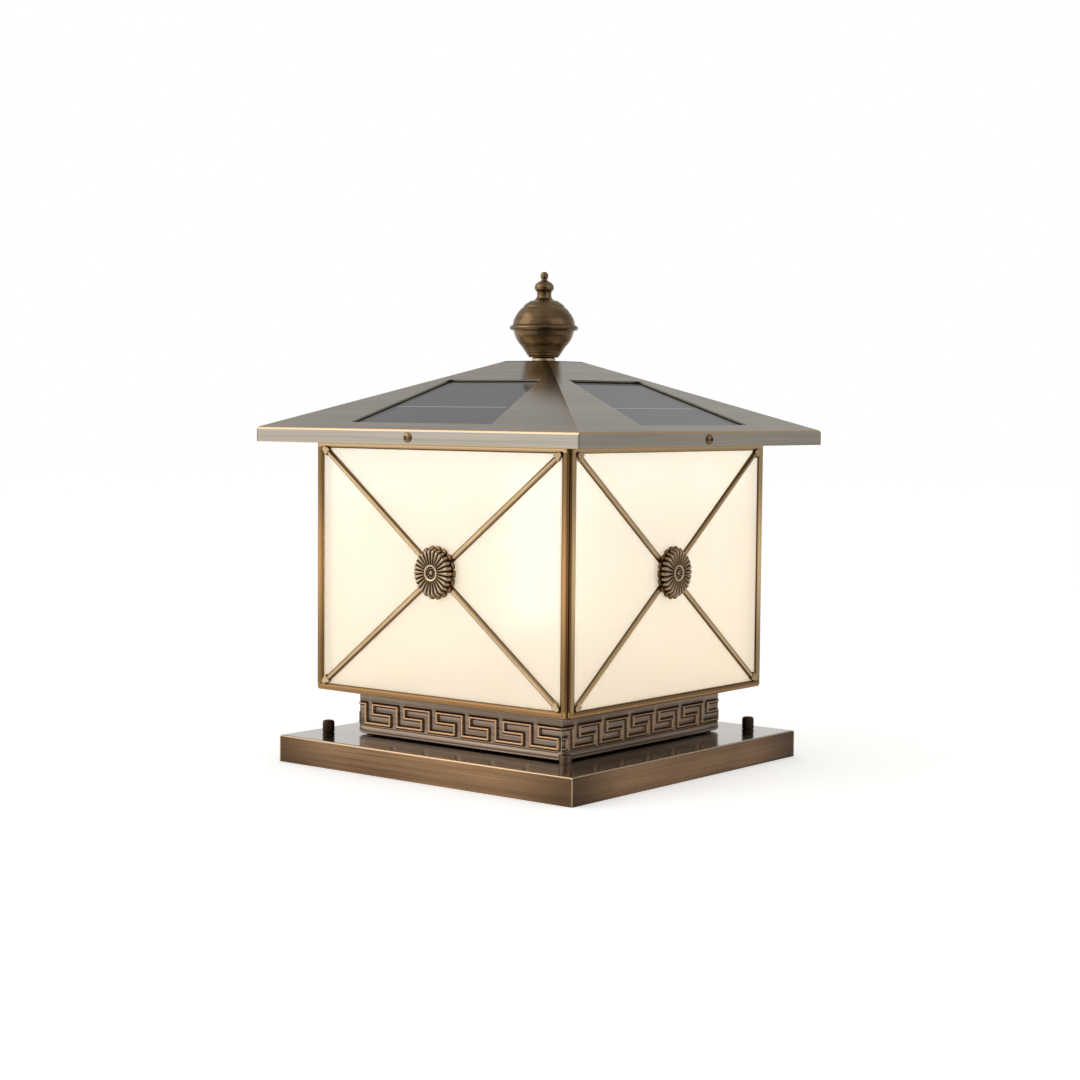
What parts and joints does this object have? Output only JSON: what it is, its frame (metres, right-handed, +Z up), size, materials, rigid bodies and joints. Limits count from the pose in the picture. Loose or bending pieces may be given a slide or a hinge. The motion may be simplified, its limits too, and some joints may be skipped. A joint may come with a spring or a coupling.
{
  "type": "solar pillar light",
  "caption": "Square lantern for the top of a pillar, with opal lit sides, a hip roof that holds solar cells, a round finial and a key-pattern neck.",
  "frame": {"origin": "centre of the base's underside, where it rests on the pillar", "axes": "+Z up; the front side looks along -Y and the right side along +X"},
  "size_m": [0.3044, 0.3044, 0.3664],
  "materials": {
    "bronze_tray": "brushed, bronze plated",
    "bronze_neck": "brushed, dark bronze plated",
    "bronze_frame": "satin, bronze plated",
    "dark_bronze": "dark bronze plated",
    "roof_bronze": "semi-gloss, grey bronze",
    "champagne": "polished champagne bronze",
    "finial_metal": "polished bronze",
    "zinc": "zinc plated",
    "fastener_dark": "blackened",
    "lit_glass": "opal, lit from inside",
    "solar_glass": "cells under clear glass",
    "seal_rubber": "matte",
    "lamp_aluminium": "as extruded",
    "board_white": "white board with yellow chips",
    "board_green": "circuit board",
    "cell_wrap": "shrink wrap",
    "black_plastic": "matte",
    "white_plastic": "matte",
    "red_plastic": "gloss"
  },
  "bodies": {
    "lantern": {"base_tray": "bronze_tray", "mounting_strap": "zinc", "strap_studs": "zinc", "stud_washers": "fastener_dark", "dome_nuts": "fastener_dark", "corner_feet": "dark_bronze", "neck_front": "bronze_neck", "neck_right": "bronze_neck", "neck_back": "bronze_neck", "neck_left": "bronze_neck", "cage_floor": "dark_bronze", "tie_rod": "zinc", "rod_nuts": "zinc", "post_front_right": "dark_bronze", "post_back_right": "dark_bronze", "post_back_left": "dark_bronze", "post_front_left": "dark_bronze", "frame_front": "bronze_frame", "frame_right": "bronze_frame", "frame_back": "bronze_frame", "frame_left": "bronze_frame", "glass_front": "lit_glass", "glass_right": "lit_glass", "glass_back": "lit_glass", "glass_left": "lit_glass", "cross_front": "champagne", "cross_right": "champagne", "cross_back": "champagne", "cross_left": "champagne", "rosette_outer": "champagne", "rosette_inner": "champagne", "rosette_buttons": "dark_bronze", "cage_seal": "seal_rubber"},
    "roof": {"roof_cover": "roof_bronze", "solar_front": "solar_glass", "solar_right": "solar_glass", "solar_back": "solar_glass", "solar_left": "solar_glass", "solar_gaskets": "seal_rubber", "roof_floor": "roof_bronze", "fascia_screws": "fastener_dark", "rivet_nuts": "zinc", "roof_guides": "roof_bronze", "battery_holder": "black_plastic", "battery_cells": "cell_wrap", "charge_controller": "board_green", "wiring": "red_plastic", "lamp_stem": "lamp_aluminium", "lamp_column": "lamp_aluminium", "led_boards": "board_white", "lamp_end_cap": "white_plastic", "switch_body": "black_plastic", "switch_nut": "zinc", "finial_washer": "finial_metal", "finial_bowl": "finial_metal", "finial_dome": "finial_metal"},
    "finial_knob": {"finial_knob": "finial_metal"},
    "switch_button": {"switch_button": "red_plastic"}
  },
  "joints": [
    {"name": "roof_lift", "type": "slide", "parent": "lantern", "child": "roof", "axis": [0, 0, 1], "range_m": [0, 0.27]},
    {"name": "knob_turn", "type": "hinge", "parent": "roof", "child": "finial_knob", "pos_m": [0, 0, 0.355], "axis": [0, 0, 1], "continuous": true},
    {"name": "switch_push", "type": "slide", "parent": "roof", "child": "switch_button", "axis": [0, 0, 1], "range_m": [0, 0.0018], "stiffness_N_per_m": 800, "springref_m": -0.001}
  ]
}
